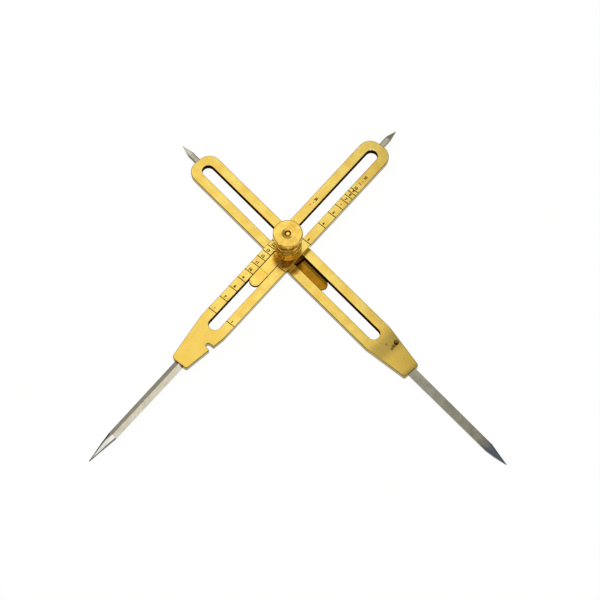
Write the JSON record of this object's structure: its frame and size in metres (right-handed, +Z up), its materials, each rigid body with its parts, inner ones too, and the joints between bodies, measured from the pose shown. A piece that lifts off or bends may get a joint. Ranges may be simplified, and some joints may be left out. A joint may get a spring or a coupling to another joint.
{
  "type": "proportional divider",
  "caption": "Slotted brass proportional divider with steel points at both ends, scales for lines and circles, sliding blocks and a turned clamping knob, lying open.",
  "frame": {"origin": "on the pivot axis, at the underside of the pivot screw's head, where the instrument rests", "axes": "+Z up along the pivot screw to the knob; -Y along the line that halves the angle between the two long points; the scaled front leg's long point is at -X, -Y"},
  "size_m": [0.1978, 0.1784, 0.0221],
  "materials": {
    "scale_leg_brass": "drawn flat brass, satin, engraved lines filled dark",
    "plain_leg_brass": "drawn flat brass, satin, lightly tarnished",
    "slide_brass": "filed flat, satin",
    "clamp_brass": "turned and polished",
    "pin_brass": "filed flush",
    "point_steel": "ground, hardened, slightly warm grey",
    "stud_steel": "turned, darkened",
    "engraving_fill": "dark wax rubbed into the stamped figures"
  },
  "bodies": {
    "back_leg": {"back_leg": "plain_leg_brass", "back_long_point": "point_steel", "back_short_point": "point_steel", "back_long_pins": "pin_brass", "back_short_pin": "pin_brass", "registration_stud": "stud_steel"},
    "back_slide": {"back_slide": "slide_brass", "pivot_screw": "clamp_brass"},
    "front_slide": {"front_slide": "slide_brass"},
    "front_leg": {"front_leg": "scale_leg_brass", "front_long_point": "point_steel", "front_short_point": "point_steel", "front_long_pins": "pin_brass", "front_short_pin": "pin_brass"},
    "clamp_washer": {"clamp_washer": "clamp_brass"},
    "clamp_knob": {"clamp_knob": "clamp_brass"}
  },
  "joints": [
    {"name": "back_slide_travel", "type": "slide", "parent": "back_leg", "child": "back_slide", "axis": [0.658, -0.753, 0], "range_m": [-0.056, 0.0369]},
    {"name": "leg_pivot", "type": "hinge", "parent": "back_slide", "child": "front_slide", "pos_m": [0, 0, 0], "axis": [0, 0, 1], "range_deg": [-60, 73]},
    {"name": "front_leg_travel", "type": "slide", "parent": "front_slide", "child": "front_leg", "axis": [-0.658, -0.753, 0], "range_m": [-0.0302, 0.0627]},
    {"name": "knob_lift", "type": "slide", "parent": "back_slide", "child": "clamp_washer", "axis": [0, 0, 1], "range_m": [0, 0.0011]},
    {"name": "knob_turn", "type": "hinge", "parent": "clamp_washer", "child": "clamp_knob", "pos_m": [0, 0, 0], "axis": [0, 0, 1], "range_deg": [0, 540]}
  ],
  "couplings": [
    {"joint": "knob_lift", "follows": "knob_turn", "m_per_rad": 0.00011141}
  ]
}
